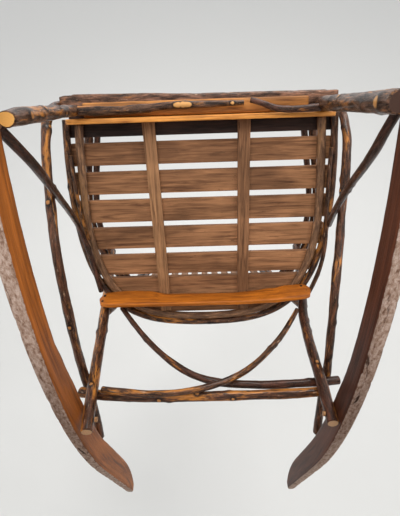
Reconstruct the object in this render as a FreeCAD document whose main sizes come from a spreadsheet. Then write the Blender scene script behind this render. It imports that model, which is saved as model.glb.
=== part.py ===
import FreeCAD, Part
import math
import os

import Sketcher

# Rustic bentwood rocking chair: bark-covered saplings for the legs, bows,
# braces, hoops and arms, and sawn slats for the seat and the back.
# Frame: +Y to the back, +Z up, floor at Z = 0. Left (-X) and right (+X) are as
# seen from the front. Millimetres and degrees.
#
# Points are given with the rockers touching the floor at Y = 0. The whole chair
# is then rolled back on its rockers to where it balances, and its middle put at
# the origin.

Vector = FreeCAD.Vector
Rotation = FreeCAD.Rotation
Placement = FreeCAD.Placement
X_AXIS = Vector(1, 0, 0)
Z_AXIS = Vector(0, 0, 1)

DIMENSIONS = {
    # rockers
    "rocker_radius": 1200, "rocker_height": 45, "rocker_thickness": 20, "rocker_spacing": 410,
    "rocker_front": 385, "rocker_bend_end": 400, "rocker_tip": 700, "rocker_toe": 137,
    # how the chair stands
    "rest_angle": 6.22, "middle_shift": 40.27,
    # pole radii
    "front_leg_left_radius": 9.5, "front_leg_right_radius": 11.5, "rear_leg_left_radius": 11,
    "rear_leg_right_radius": 9.5, "bow_radius": 7.5, "side_brace_radius": 6,
    "arch_radius": 5.5, "stretcher_radius": 9, "rear_brace_radius": 6, "hoop_outer_radius": 7,
    "side_sapling_radius": 4.5, "back_outer_radius": 10, "back_inner_radius": 7,
    "arm_outer_radius": 11, "arm_inner_radius": 8,
    # seat
    "seat_height": 358, "seat_tilt": 8.6, "slat_thickness": 10, "slat_level": 8,
    "batten_width": 24, "batten_thickness": 8, "batten_front": 205, "batten_length": 410,
    "hoop_inner_width": 16, "hoop_inner_thickness": 10,
    "front_rail_length": 492, "rail_length": 466, "rail_height": 42, "rear_rail_height": 41, "rail_thickness": 9.5, "rail_corner": 12,
    "apron_length": 424, "apron_depth": 26, "apron_height": 22,
    "front_board_length": 518, "front_board_depth": 26, "front_board_thickness": 12,
    "cap_length": 480, "cap_depth": 24, "cap_thickness": 6,
    # back
    "back_lean": 20, "back_slat_width": 20, "back_slat_thickness": 8, "back_slat_pitch": 33,
    "back_rail_length": 404, "back_rail_width": 34, "back_rail_thickness": 9, "back_rail_corner": 8,
    # fastenings
    "nail_radius": 3, "nail_height": 1.2, "peg_radius": 4, "peg_height": 4,
}

# Seat slats: front and rear edge, measured back along the seat.
SEAT_SLATS = [(-224, -181), (-170, -127), (-114, -69), (-56, -9), (4, 51), (67, 113), (122, 166), (168.5, 212)]
BACK_SLAT_COUNT = 11

doc = FreeCAD.newDocument("rocking_chair")
sheet = doc.addObject("Spreadsheet::Sheet", "dims")
for row, (alias, value) in enumerate(DIMENSIONS.items(), start=1):
    sheet.set("A%d" % row, alias)
    sheet.set("B%d" % row, str(value))
    sheet.setAlias("B%d" % row, alias)
row_count = len(DIMENSIONS)
doc.recompute()

nodes = []


def dim(alias):
    """The value of one cell of the sheet."""
    return float(sheet.get(alias))


def add_cell(alias, value):
    """Adds a worked-out length to the sheet, so that a sketch can be bound to it."""
    global row_count
    row_count += 1
    sheet.set("A%d" % row_count, alias)
    sheet.set("B%d" % row_count, "%.3f" % value)
    sheet.setAlias("B%d" % row_count, alias)


def keep(obj, label):
    """Names a finished sub-part and puts it on the list of nodes."""
    obj.Label = label
    nodes.append(obj)
    return obj


# ---------------------------------------------------------------- local frames

def at_rest():
    """Rolls the chair back about the centre of its rockers' curve, to its balance."""
    centre = Vector(0, 0, dim("rocker_radius"))
    roll = Placement(Vector(), Rotation(X_AXIS, -dim("rest_angle")), centre)
    return Placement(Vector(0, -dim("middle_shift"), 0), Rotation()) * roll


def seat_placement(x=0.0, back=0.0, up=0.0):
    """A place on the tilted seat: across, back along it, and up from the battens' underside."""
    tilt = Rotation(X_AXIS, -dim("seat_tilt"))
    origin = Vector(0, 0, dim("seat_height"))
    return Placement(origin + tilt.multVec(Vector(x, back, up)), tilt)


def seat_point(x, back, up):
    return seat_placement(x, back, up).Base


BACK_FOOT = Vector(0, 200, 318)


def back_placement(x=0.0, up=0.0, forward=0.0):
    """A place on the leaning back: across, up along it, and forward out of its plane."""
    lean = Rotation(X_AXIS, 90 - dim("back_lean"))
    return Placement(BACK_FOOT + lean.multVec(Vector(x, up, forward)), lean)


def back_point(x, up, forward=0.0):
    return back_placement(x, up, forward).Base


def mirrored(points):
    return [Vector(-p.x, p.y, p.z) for p in points]


def hoop(half):
    """A whole hoop from the points of its left half, with a straight run across the middle."""
    return half + mirrored(half)[::-1]


# ---------------------------------------------------------------- bent poles

def rounded_path(points):
    """Straight runs joined by tangent arcs, each as large as its two runs allow."""
    edges = []
    start = points[0]
    for before, corner, after in zip(points, points[1:], points[2:]):
        to_before = before - corner
        to_after = after - corner
        trim = 0.45 * min(to_before.Length, to_after.Length)
        to_before.normalize()
        to_after.normalize()
        enter = corner + to_before * trim
        leave = corner + to_after * trim
        half_turn = (math.pi - to_before.getAngle(to_after)) / 2
        radius = trim / math.tan(half_turn)
        bisector = to_before + to_after
        bisector.normalize()
        centre = corner + bisector * (radius / math.cos(half_turn))
        middle = centre - bisector * radius
        edges.append(Part.LineSegment(start, enter).toShape())
        edges.append(Part.Arc(enter, middle, leave).toShape())
        start = leave
    edges.append(Part.LineSegment(start, points[-1]).toShape())
    return Part.Wire(edges)


def spine(label, points):
    """The path of a pole. The points come back as they are once the chair stands."""
    rest = at_rest()
    points = [rest.multVec(point) for point in points]
    path = doc.addObject("Part::Feature", label + "_path")
    path.Shape = rounded_path(points) if len(points) > 2 else Part.makePolygon(points)
    return path, points


def sweep(label, path, section):
    pole = doc.addObject("Part::Sweep", label)
    pole.Sections = [section]
    pole.Spine = (path, [])
    pole.Solid = True
    pole.Frenet = False
    return keep(pole, label)


def round_pole(label, points, radius_alias):
    """A sapling of one thickness that follows its points."""
    path, points = spine(label, points)
    section = doc.addObject("Part::Circle", label + "_section")
    section.setExpression("Radius", "dims." + radius_alias)
    section.Placement = Placement(points[0], Rotation(Z_AXIS, points[1] - points[0]))
    return sweep(label, path, section)


def pole_pair(stem, left_points, radius_alias):
    round_pole(stem + "_left", left_points, radius_alias)
    round_pole(stem + "_right", mirrored(left_points), radius_alias)


# ---------------------------------------------------------------- boards

def new_sketch(body, role):
    sketch = body.newObject("Sketcher::SketchObject", "Outline")
    plane = [f for f in body.Origin.OriginFeatures if f.Role == role][0]
    sketch.AttachmentSupport = [(plane, "")]
    sketch.MapMode = "FlatFace"
    return sketch


def pad_outline(body, sketch, thickness_alias, midplane=False):
    pad = body.newObject("PartDesign::Pad", "Pad")
    pad.Profile = sketch
    pad.Midplane = midplane
    pad.setExpression("Length", "dims." + thickness_alias)
    return pad


def line(x0, y0, x1, y1):
    return Part.LineSegment(Vector(x0, y0, 0), Vector(x1, y1, 0))


def named(sketch, name, alias, *constraint):
    """A sketch dimension that follows a cell of the sheet."""
    index = sketch.addConstraint(Sketcher.Constraint(*constraint, dim(alias)))
    sketch.renameConstraint(index, name)
    sketch.setExpression("Constraints." + name, "dims." + alias)


def tapered_board(label, placement, front_alias, rear_alias, width_alias, thickness_alias):
    """A board whose front and rear edges differ in length, centred on the chair's middle."""
    body = doc.addObject("PartDesign::Body", label)
    sketch = new_sketch(body, "XY_Plane")
    front = dim(front_alias) / 2
    rear = dim(rear_alias) / 2
    width = dim(width_alias)
    sketch.addGeometry([line(-front, 0, front, 0), line(front, 0, rear, width),
                        line(rear, width, -rear, width), line(-rear, width, -front, 0)])
    for edge in range(4):
        sketch.addConstraint(Sketcher.Constraint("Coincident", edge, 2, (edge + 1) % 4, 1))
    sketch.addConstraint(Sketcher.Constraint("PointOnObject", 0, 1, -1))
    sketch.addConstraint(Sketcher.Constraint("Symmetric", 0, 1, 0, 2, -2))
    sketch.addConstraint(Sketcher.Constraint("Symmetric", 2, 1, 2, 2, -2))
    named(sketch, "front", front_alias, "DistanceX", 0, 1, 0, 2)
    named(sketch, "rear", rear_alias, "DistanceX", 2, 2, 2, 1)
    named(sketch, "width", width_alias, "DistanceY", 1, 1, 1, 2)
    pad_outline(body, sketch, thickness_alias)
    body.Placement = at_rest() * placement
    return keep(body, label)


def plain_board(label, placement, length_alias, width_alias, thickness_alias):
    return tapered_board(label, placement, length_alias, length_alias, width_alias, thickness_alias)


def rounded_board(label, placement, length_alias, width_alias, thickness_alias, corner_alias):
    """A board with rounded corners, centred on its own middle."""
    body = doc.addObject("PartDesign::Body", label)
    sketch = new_sketch(body, "XY_Plane")
    x = dim(length_alias) / 2
    y = dim(width_alias) / 2
    r = dim(corner_alias)
    sketch.addGeometry([line(-x + r, -y, x - r, -y), line(x, -y + r, x, y - r),
                        line(x - r, y, -x + r, y), line(-x, y - r, -x, -y + r)])
    corners = [(x - r, -y + r, -90), (x - r, y - r, 0), (-x + r, y - r, 90), (-x + r, -y + r, 180)]
    for cx, cy, start in corners:
        circle = Part.Circle(Vector(cx, cy, 0), Z_AXIS, r)
        sketch.addGeometry(Part.ArcOfCircle(circle, math.radians(start), math.radians(start + 90)))
    for edge in range(4):
        sketch.addConstraint(Sketcher.Constraint("Tangent", edge, 2, edge + 4, 1))
        sketch.addConstraint(Sketcher.Constraint("Tangent", edge + 4, 2, (edge + 1) % 4, 1))
    for edge in (5, 6, 7):
        sketch.addConstraint(Sketcher.Constraint("Equal", 4, edge))
    for edge in (0, 2):
        sketch.addConstraint(Sketcher.Constraint("Horizontal", edge))
    for edge in (1, 3):
        sketch.addConstraint(Sketcher.Constraint("Vertical", edge))
    sketch.addConstraint(Sketcher.Constraint("Symmetric", 4, 3, 6, 3, -1, 1))
    named(sketch, "length", length_alias, "DistanceX", 3, 1, 1, 1)
    named(sketch, "width", width_alias, "DistanceY", 0, 1, 2, 2)
    named(sketch, "corner", corner_alias, "Radius", 4)
    pad_outline(body, sketch, thickness_alias)
    body.Placement = at_rest() * placement
    return keep(body, label)


def sink_holes(body, spots):
    """Shallow round holes in a slat's top, which its nails' heads fill."""
    sketch = new_sketch(body, "XY_Plane")
    sketch.setExpression("AttachmentOffset.Base.z", "dims.slat_thickness")
    for index, (x, y) in enumerate(spots):
        sketch.addGeometry(Part.Circle(Vector(x, y, 0), Z_AXIS, dim("nail_radius")))
        named(sketch, "nail_%d" % index, "nail_radius", "Radius", index)
        sketch.addConstraint(Sketcher.Constraint("DistanceX", -1, 1, index, 3, x))
        sketch.addConstraint(Sketcher.Constraint("DistanceY", -1, 1, index, 3, y))
    pocket = body.newObject("PartDesign::Pocket", "Pocket")
    pocket.Profile = sketch
    pocket.setExpression("Length", "dims.nail_height")


# ---------------------------------------------------------------- rockers

def rocker(side, name):
    """A curved runner. Its underside is an arc about a point high above the floor and
    runs out straight at the rear, where the top edge curves down to meet it in a tip."""
    body = doc.addObject("PartDesign::Body", "rocker_" + name)
    sketch = new_sketch(body, "YZ_Plane")
    outer = dim("rocker_radius")
    height = dim("rocker_height")
    inner = outer - height
    half = height / 2
    centre = Vector(0, outer, 0)
    front = -math.pi / 2 - math.asin((dim("rocker_front") - half) / (outer - half))
    bend_end = -math.pi / 2 + math.asin(dim("rocker_bend_end") / outer)
    outward = Vector(math.cos(bend_end), math.sin(bend_end), 0)
    along = Vector(-outward.y, outward.x, 0)
    under_start = centre + outward * outer
    tip = under_start + along * ((dim("rocker_tip") - under_start.x) / along.x)
    toe = dim("rocker_toe")
    top_end = tip - along * toe - outward * height
    toe_radius = (toe ** 2 + height ** 2) / (2 * height)
    toe_centre = top_end + outward * toe_radius
    toe_start = math.atan2(tip.y - toe_centre.y, tip.x - toe_centre.x)
    front_cap = centre + Vector(math.cos(front), math.sin(front), 0) * (outer - half)

    def arc(middle, radius, start, end):
        return Part.ArcOfCircle(Part.Circle(middle, Z_AXIS, radius), start, end)

    sketch.addGeometry([
        arc(centre, outer, front, bend_end),
        Part.LineSegment(under_start, tip),
        arc(toe_centre, toe_radius, toe_start, math.pi + bend_end),
        Part.LineSegment(top_end, centre + outward * inner),
        arc(centre, inner, front, bend_end),
        arc(front_cap, half, front - math.pi, front)])
    sketch.addConstraint(Sketcher.Constraint("PointOnObject", 0, 3, -2))
    sketch.addConstraint(Sketcher.Constraint("Coincident", 0, 3, 4, 3))
    named(sketch, "centre_height", "rocker_radius", "DistanceY", -1, 1, 0, 3)
    named(sketch, "outer", "rocker_radius", "Radius", 0)
    index = sketch.addConstraint(Sketcher.Constraint("Radius", 4, inner))
    sketch.renameConstraint(index, "inner")
    sketch.setExpression("Constraints.inner", "dims.rocker_radius - dims.rocker_height")
    tangents = (((0, 2), (1, 1)), ((2, 2), (3, 1)), ((3, 2), (4, 2)), ((4, 1), (5, 1)), ((5, 2), (0, 1)))
    for first, second in tangents:
        sketch.addConstraint(Sketcher.Constraint("Tangent", *first, *second))
    sketch.addConstraint(Sketcher.Constraint("Coincident", 1, 2, 2, 1))
    sketch.addConstraint(Sketcher.Constraint("Parallel", 1, 3))
    named(sketch, "bend_end", "rocker_bend_end", "DistanceX", -1, 1, 0, 2)
    named(sketch, "tip", "rocker_tip", "DistanceX", -1, 1, 1, 2)
    index = sketch.addConstraint(Sketcher.Constraint("DistanceX", 5, 3, -1, 1, dim("rocker_front") - half))
    sketch.renameConstraint(index, "front")
    sketch.setExpression("Constraints.front", "dims.rocker_front - dims.rocker_height / 2")
    pad_outline(body, sketch, "rocker_thickness", midplane=True)
    offset = (dim("rocker_spacing") + dim("rocker_thickness")) / 2
    body.Placement = at_rest() * Placement(Vector(side * offset, 0, 0), Rotation())
    keep(body, "rocker_" + name)


# ---------------------------------------------------------------- underframe

def underframe():
    round_pole("front_leg_left", [Vector(-194, -273, 62), Vector(-225, -228, 393)], "front_leg_left_radius")
    round_pole("front_leg_right", [Vector(190, -279, 40), Vector(225, -226, 391)], "front_leg_right_radius")
    round_pole("rear_leg_left", [Vector(-190, 186, 16), Vector(-197, 178, 78), Vector(-226, 178, 333),
                                 Vector(-266, 186, 582)], "rear_leg_left_radius")
    round_pole("rear_leg_right", [
        Vector(195, 181, 19), Vector(198, 178, 80), Vector(200, 178, 142), Vector(205, 178, 229),
        Vector(211, 178, 283), Vector(226, 179, 335), Vector(266, 186, 582)], "rear_leg_right_radius")

    # The side bows start on the rockers' tails, run forward above the rockers and
    # turn up outside the seat to carry the fronts of the arms.
    round_pole("side_bow_left", [
        Vector(-215, 338, 104), Vector(-217, 275, 117), Vector(-221, 200, 122), Vector(-220, 90, 122),
        Vector(-220, -20, 135), Vector(-224, -76, 155), Vector(-231, -109, 186),
        Vector(-239, -140, 217), Vector(-244, -174, 243), Vector(-247, -214, 275),
        Vector(-252, -236, 320), Vector(-264, -238, 380), Vector(-269, -232, 440),
        Vector(-264, -202, 593)], "bow_radius")
    round_pole("side_bow_right", [
        Vector(215, 338, 104), Vector(217, 262, 121), Vector(221, 190, 131), Vector(221, 112, 148),
        Vector(224, 46, 172), Vector(243, -23, 238), Vector(250, -46, 265), Vector(257, -72, 290),
        Vector(261, -99, 305), Vector(263, -153, 328), Vector(267, -177, 350), Vector(269, -209, 395),
        Vector(269, -213, 440), Vector(264, -202, 593)], "bow_radius")

    # The side braces climb from the feet of the front legs to the sides of the seat.
    # The left one is the longer and runs on under the hoop to the rear leg.
    round_pole("side_brace_left", [
        Vector(-215, -261, 79), Vector(-213, -245, 93), Vector(-205, -211, 116), Vector(-212, -172, 158),
        Vector(-224, -130, 210), Vector(-241, -69, 285), Vector(-251, -14, 336),
        Vector(-242, 32, 334), Vector(-235, 85, 327), Vector(-229, 138, 320)], "side_brace_radius")
    round_pole("side_brace_right", [
        Vector(214, -268, 84), Vector(210, -252, 89), Vector(212, -203, 121), Vector(225, -135, 201), Vector(232, -93, 242),
        Vector(244, -39, 296), Vector(255, -6, 331)], "side_brace_radius")

    # Two bent saplings run from the front legs under the seat's front edge, tips side by side.
    round_pole("front_arch_left", [
        Vector(-207, -229, 364), Vector(-150, -228, 366), Vector(-112, -230, 366),
        Vector(-44, -235, 367), Vector(2, -234, 367), Vector(80, -235, 367)], "arch_radius")
    round_pole("front_arch_right", [
        Vector(204, -224, 349), Vector(168, -224, 347), Vector(141, -225, 350),
        Vector(124, -229, 354), Vector(108, -236, 358), Vector(90, -240, 360)], "arch_radius")

    # The rear stretcher and the two crossing braces tie the rear legs together.
    round_pole("rear_stretcher", [
        Vector(-227, 198, 102), Vector(-188, 198, 92), Vector(-70, 198, 87), Vector(40, 198, 87),
        Vector(120, 198, 88), Vector(180, 198, 90), Vector(212, 197, 92)], "stretcher_radius")
    round_pole("rear_brace_left", [
        Vector(-186, 176, 308), Vector(-141, 182, 241), Vector(-91, 187, 181), Vector(-49, 190, 143),
        Vector(-8, 194, 120), Vector(50, 198, 110), Vector(149, 200, 109), Vector(239, 199, 116)],
        "rear_brace_radius")
    round_pole("rear_brace_right", [
        Vector(200, 174, 285), Vector(164, 178, 224), Vector(112, 180, 162), Vector(72, 180, 124),
        Vector(31, 180, 102), Vector(-12, 180, 87), Vector(-75, 180, 79), Vector(-132, 180, 83),
        Vector(-182, 180, 91)], "rear_brace_radius")


# ---------------------------------------------------------------- seat

HOOP_INNER = [(-229, -205), (-243, -57), (-238, 60), (-207, 148), (-150, 200), (-70, 222)]
HOOP_OUTER = [(-252, -214), (-260, -140), (-264, -40), (-254, 70), (-221, 160), (-160, 215),
              (-75, 238)]


def hoop_reach(back):
    """How far the outer hoop stands from the middle at a distance back along the seat."""
    for (x0, y0), (x1, y1) in zip(HOOP_OUTER, HOOP_OUTER[1:]):
        if y0 <= back <= y1:
            return -(x0 + (x1 - x0) * (back - y0) / (y1 - y0))
    return -HOOP_OUTER[0][0]


def seat_frame():
    half = [seat_point(x, back, 2) for x, back in HOOP_OUTER]
    round_pole("seat_hoop_outer", hoop(half), "hoop_outer_radius")

    # The inner hoop is a flat strip, so its section is a rectangle that lies in the seat.
    points = hoop([seat_point(x, back, 3) for x, back in HOOP_INNER])
    path, points = spine("seat_hoop_inner", points)
    section = doc.addObject("Part::Plane", "seat_hoop_inner_section")
    section.setExpression("Length", "dims.hoop_inner_width")
    section.setExpression("Width", "dims.hoop_inner_thickness")
    along = points[1] - points[0]
    along.normalize()
    up = Rotation(X_AXIS, -dim("seat_tilt") - dim("rest_angle")).multVec(Z_AXIS)
    across = up.cross(along)
    corner = points[0] - across * (dim("hoop_inner_width") / 2) - up * (dim("hoop_inner_thickness") / 2)
    section.Placement = Placement(corner, Rotation(across, up, along, "XYZ"))
    sweep("seat_hoop_inner", path, section)

    # A thin sapling lies under the gap between the hoops on each side. The right one
    # runs on to the rear leg.
    round_pole("seat_side_sapling_left", [seat_point(*place) for place in (
        (-250, -150, -7), (-252, -70, -7), (-249, -20, -6), (-243, 24, -6))], "side_sapling_radius")
    round_pole("seat_side_sapling_right", [seat_point(*place) for place in (
        (250, -150, -7), (252, -70, -7), (254, -20, -7), (257, 20, -9), (257, 50, -13),
        (253, 90, -15), (243, 130, -15), (231, 158, -17))], "side_sapling_radius")


REAR_RAIL_BACK = 168
REAR_RAIL_UP = -25.8


def slat_nails(middle):
    """Where a slat is nailed: to the hoops at its ends and to the two battens."""
    end = hoop_reach(middle) - 14
    return (-end, -92, 90, end)


def seat_boards():
    on_edge = Rotation(X_AXIS, 90)
    rail_up = dim("slat_level") - dim("rail_height") / 2
    front_rail = seat_placement(1, -206, rail_up)
    rounded_board("front_rail", Placement(front_rail.Base, front_rail.Rotation * on_edge),
                  "front_rail_length", "rail_height", "rail_thickness", "rail_corner")
    rear_rail = seat_placement(0, REAR_RAIL_BACK, REAR_RAIL_UP)
    rounded_board("rear_rail", Placement(rear_rail.Base, rear_rail.Rotation * on_edge),
                  "rail_length", "rear_rail_height", "rail_thickness", "rail_corner")

    level = dim("slat_level")
    plain_board("front_apron", seat_placement(0, -242, level - dim("apron_height")),
                "apron_length", "apron_depth", "apron_height")
    plain_board("seat_front_board", seat_placement(-1, -251, level),
                "front_board_length", "front_board_depth", "front_board_thickness")
    plain_board("seat_front_cap", seat_placement(0, -252, level + dim("front_board_thickness")),
                "cap_length", "cap_depth", "cap_thickness")

    end_gap = 5
    for number, (front, rear) in enumerate(SEAT_SLATS, start=1):
        stem = "slat_%d_" % number
        add_cell(stem + "front", 2 * (hoop_reach(front) - end_gap))
        add_cell(stem + "rear", 2 * (hoop_reach(rear) - end_gap))
        add_cell(stem + "width", rear - front)
        doc.recompute()
        slat = tapered_board("seat_slat_%d" % number, seat_placement(0, front, level),
                             stem + "front", stem + "rear", stem + "width", "slat_thickness")
        sink_holes(slat, [(x, (rear - front) / 2) for x in slat_nails((front + rear) / 2)])

    for name, x, skew in (("left", -97, 1.0), ("right", 84, 0.4)):
        place = seat_placement(x, -dim("batten_front"), 0)
        turned = place.Rotation * Rotation(Z_AXIS, -skew)
        plain_board("seat_batten_" + name, Placement(place.Base, turned),
                    "batten_width", "batten_length", "batten_thickness")


# ---------------------------------------------------------------- back and arms

BACK_OUTER = [(-230, 14), (-222, 70), (-211, 140), (-208, 220), (-209, 400), (-196, 530), (-150, 625),
              (-62, 684)]
BACK_INNER = [(-192, 60), (-189, 220), (-191, 395), (-179, 518), (-139, 602), (-56, 660)]


def back_arch(x):
    """The height of the inner hoop's underside above the back's foot, at a distance from the middle."""
    for (x0, up0), (x1, up1) in zip(BACK_INNER, BACK_INNER[1:]):
        if x0 <= -abs(x) <= x1:
            return up0 + (up1 - up0) * (-abs(x) - x0) / (x1 - x0) - dim("back_inner_radius")
    return BACK_INNER[-1][1] - dim("back_inner_radius")


def back_frame():
    half = [back_point(x, up) for x, up in BACK_OUTER]
    round_pole("back_hoop_outer", hoop(half), "back_outer_radius")
    half = [back_point(x, up) for x, up in BACK_INNER]
    round_pole("back_hoop_inner", hoop(half), "back_inner_radius")

    behind = -dim("back_outer_radius") - dim("back_rail_thickness")
    for name, up in (("lower", 105), ("upper", 470)):
        rounded_board("back_rail_" + name, back_placement(0, up, behind),
                      "back_rail_length", "back_rail_width", "back_rail_thickness", "back_rail_corner")

    lower_end = 78
    gap_under_arch = 12
    front_of_rails = -dim("back_outer_radius")
    for number in range(BACK_SLAT_COUNT):
        x = (number - (BACK_SLAT_COUNT - 1) / 2) * dim("back_slat_pitch")
        edge = abs(x) + dim("back_slat_width") / 2 + 6
        alias = "back_slat_%d_length" % (number + 1)
        add_cell(alias, back_arch(edge) - gap_under_arch - lower_end)
        doc.recompute()
        plain_board("back_slat_%d" % (number + 1), back_placement(x, lower_end, front_of_rails),
                    "back_slat_width", alias, "back_slat_thickness")


def arms():
    pole_pair("arm_outer", [
        Vector(-264, -207, 604), Vector(-286, -95, 602), Vector(-308, 15, 598), Vector(-313, 115, 594),
        Vector(-294, 205, 590), Vector(-252, 288, 586), Vector(-234, 316, 585)], "arm_outer_radius")
    pole_pair("arm_inner", [
        Vector(-250, -170, 603), Vector(-266, -85, 602), Vector(-288, 18, 598), Vector(-293, 110, 594),
        Vector(-275, 197, 590), Vector(-235, 277, 586), Vector(-226, 296, 585)], "arm_inner_radius")


# ---------------------------------------------------------------- fastenings

def discs(label, placements, radius, height):
    """Nail heads or peg ends: separate short cylinders in one node."""
    shapes = []
    for place in placements:
        disc = Part.makeCylinder(radius, height)
        disc.Placement = at_rest() * place
        shapes.append(disc)
    group = doc.addObject("Part::Feature", label)
    group.Shape = Part.makeCompound(shapes)
    keep(group, label)


def fastenings():
    on_edge = Rotation(X_AXIS, 90)
    nail = (dim("nail_radius"), dim("nail_height"))

    places = []
    for x in (-222, 222):
        for offset in (-9, 9):
            place = seat_placement(x, REAR_RAIL_BACK - dim("rail_thickness"), REAR_RAIL_UP + offset)
            places.append(Placement(place.Base, place.Rotation * on_edge))
    discs("frame_nails", places, *nail)

    places = []
    sunk = dim("slat_level") + dim("slat_thickness") - dim("nail_height")
    for front, rear in SEAT_SLATS:
        middle = (front + rear) / 2
        for x in slat_nails(middle):
            places.append(seat_placement(x, middle, sunk))
    discs("seat_nails", places, *nail)

    places = []
    slat_face = -dim("back_outer_radius") + dim("back_slat_thickness")
    for number in range(BACK_SLAT_COUNT):
        x = (number - (BACK_SLAT_COUNT - 1) / 2) * dim("back_slat_pitch")
        for up in (105, 470):
            places.append(back_placement(x, up, slat_face))
    discs("back_nails", places, *nail)

    places = [Placement(Vector(-181, 183, 36), Rotation(Z_AXIS, X_AXIS)),
              Placement(Vector(188, 180, 36), Rotation(Z_AXIS, -X_AXIS))]
    discs("leg_pegs", places, dim("peg_radius"), dim("peg_height"))


# ---------------------------------------------------------------- build and save

for side, name in ((-1, "left"), (1, "right")):
    rocker(side, name)
underframe()
seat_frame()
seat_boards()
back_frame()
arms()
fastenings()
doc.recompute()

for obj in doc.Objects:
    if "Invalid" in obj.State or "Error" in obj.State:
        raise RuntimeError("failed: %s %s" % (obj.Label, obj.State))
for obj in nodes:
    if obj.Shape.isNull() or not obj.Shape.isValid() or not obj.Shape.Solids:
        raise RuntimeError("bad shape: %s" % obj.Label)

os.makedirs("parts", exist_ok=True)
for obj in nodes:
    obj.Shape.exportStep("parts/%s.step" % obj.Label)
print("%d sub-parts" % len(nodes))
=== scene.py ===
"""A rustic bentwood rocking chair, seen from in front and underneath.

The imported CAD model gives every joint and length. The bark-covered poles, the worn
rockers, the boards across the seat and the rear rail's nails are rebuilt here on the
CAD's own centre lines. The slats, battens, back rails, pegs and other nails stay as CAD
nodes, with softened edges and wood or iron materials.
"""
import math
import random

import bpy
from mathutils import Matrix, Vector, noise


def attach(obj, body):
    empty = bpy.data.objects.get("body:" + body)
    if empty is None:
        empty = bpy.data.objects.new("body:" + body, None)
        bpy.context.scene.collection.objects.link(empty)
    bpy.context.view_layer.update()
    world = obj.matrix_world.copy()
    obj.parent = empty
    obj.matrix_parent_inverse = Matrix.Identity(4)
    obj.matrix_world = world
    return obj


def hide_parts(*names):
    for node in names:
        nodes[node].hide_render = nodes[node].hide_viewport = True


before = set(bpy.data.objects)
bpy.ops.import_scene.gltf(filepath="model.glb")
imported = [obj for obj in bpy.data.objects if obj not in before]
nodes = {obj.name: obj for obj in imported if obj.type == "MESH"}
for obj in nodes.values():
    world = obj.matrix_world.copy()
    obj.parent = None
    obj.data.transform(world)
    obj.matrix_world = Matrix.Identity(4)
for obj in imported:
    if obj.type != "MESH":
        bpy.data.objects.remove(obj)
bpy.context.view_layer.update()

# ---------------------------------------------------------------- the chair's frames
# Points are in millimetres, and the unrolled chair touches the floor at Y = 0. REST
# rolls it back to where it balances, as the CAD does, and turns millimetres into metres.
# SEAT and BACK lay out points on the tilted seat and on the leaning back.

ROLL = math.radians(6.22)
MIDDLE = 40.27
ROCKER_RADIUS = 1200.0
METRES = Matrix.Scale(0.001, 4)
REST = (METRES @ Matrix.Translation((0, -MIDDLE, ROCKER_RADIUS)) @ Matrix.Rotation(-ROLL, 4, "X")
        @ Matrix.Translation((0, 0, -ROCKER_RADIUS)))
SEAT = REST @ Matrix.Translation((0, 0, 358)) @ Matrix.Rotation(math.radians(-8.6), 4, "X")
BACK = REST @ Matrix.Translation((0, 200, 318)) @ Matrix.Rotation(math.radians(70), 4, "X")
SEAT_TILT = math.radians(8.6) + ROLL
# Ways that a knot or a cut can face: forward and up, or down at the floor.
FRONT_UP = Vector((0, -0.85, 0.53)).normalized()
DOWN = Vector((0, -0.3, -0.95))


def mirrored(points):
    return [(-p[0],) + tuple(p[1:]) for p in points]


def hoop(half):
    return half + mirrored(half)[::-1]


# ---------------------------------------------------------------- material graphs

class Graph:
    """A Principled material and short calls that add nodes to it."""

    def __init__(self, name, **fixed):
        self.material = bpy.data.materials.new(name)
        self.material.use_nodes = True
        self.tree = self.material.node_tree
        self.shader = self.tree.nodes["Principled BSDF"]
        for socket, value in fixed.items():
            self.shader.inputs[socket.replace("_", " ")].default_value = value

    def add(self, kind, inputs=(), **settings):
        node = self.tree.nodes.new("ShaderNode" + kind)
        for key, value in settings.items():
            setattr(node, key, value)
        for key, value in dict(inputs).items():
            if isinstance(value, bpy.types.NodeSocket):
                self.tree.links.new(value, node.inputs[key])
            else:
                node.inputs[key].default_value = value
        return node

    def place(self):
        return self.add("TexCoord").outputs["Object"]

    def attribute(self, name, output="Vector"):
        return self.add("Attribute", attribute_name=name).outputs[output]

    def stretch(self, vector, scale, turn=(0, 0, 0)):
        turned = self.add("Mapping", {"Vector": vector, "Rotation": turn}).outputs[0]
        return self.add("Mapping", {"Vector": turned, "Scale": scale}).outputs[0]

    def noise(self, vector, scale, detail=3.0, rough=0.55, bend=0.0):
        values = {"Vector": vector, "Scale": scale, "Detail": detail, "Roughness": rough, "Distortion": bend}
        return self.add("TexNoise", values).outputs["Fac"]

    def step(self, value, low, high, out_low=0.0, out_high=1.0):
        values = {"Value": value, "From Min": low, "From Max": high, "To Min": out_low, "To Max": out_high}
        return self.add("MapRange", values).outputs["Result"]

    def ramp(self, value, *stops):
        node = self.add("ValToRGB", {"Fac": value})
        elements = node.color_ramp.elements
        while len(elements) < len(stops):
            elements.new(0.5)
        for element, (position, colour) in zip(elements, stops):
            element.position = position
            element.color = (*colour, 1)
        return node.outputs["Color"]

    def mix(self, factor, first, second):
        node = self.add("Mix", {"Factor": factor}, data_type="RGBA")
        for key, value in ((6, first), (7, second)):
            if isinstance(value, bpy.types.NodeSocket):
                self.tree.links.new(value, node.inputs[key])
            else:
                node.inputs[key].default_value = (*value, 1)
        return node.outputs[2]

    def math(self, operation, first, second=0.0):
        return self.add("Math", {0: first, 1: second}, operation=operation).outputs[0]

    def finish(self, colour, roughness, height, depth):
        link = self.tree.links.new
        link(colour, self.shader.inputs["Base Color"])
        link(roughness, self.shader.inputs["Roughness"])
        bump = self.add("Bump", {"Height": height, "Distance": depth, "Strength": 1.0})
        link(bump.outputs[0], self.shader.inputs["Normal"])
        return self.material


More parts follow.
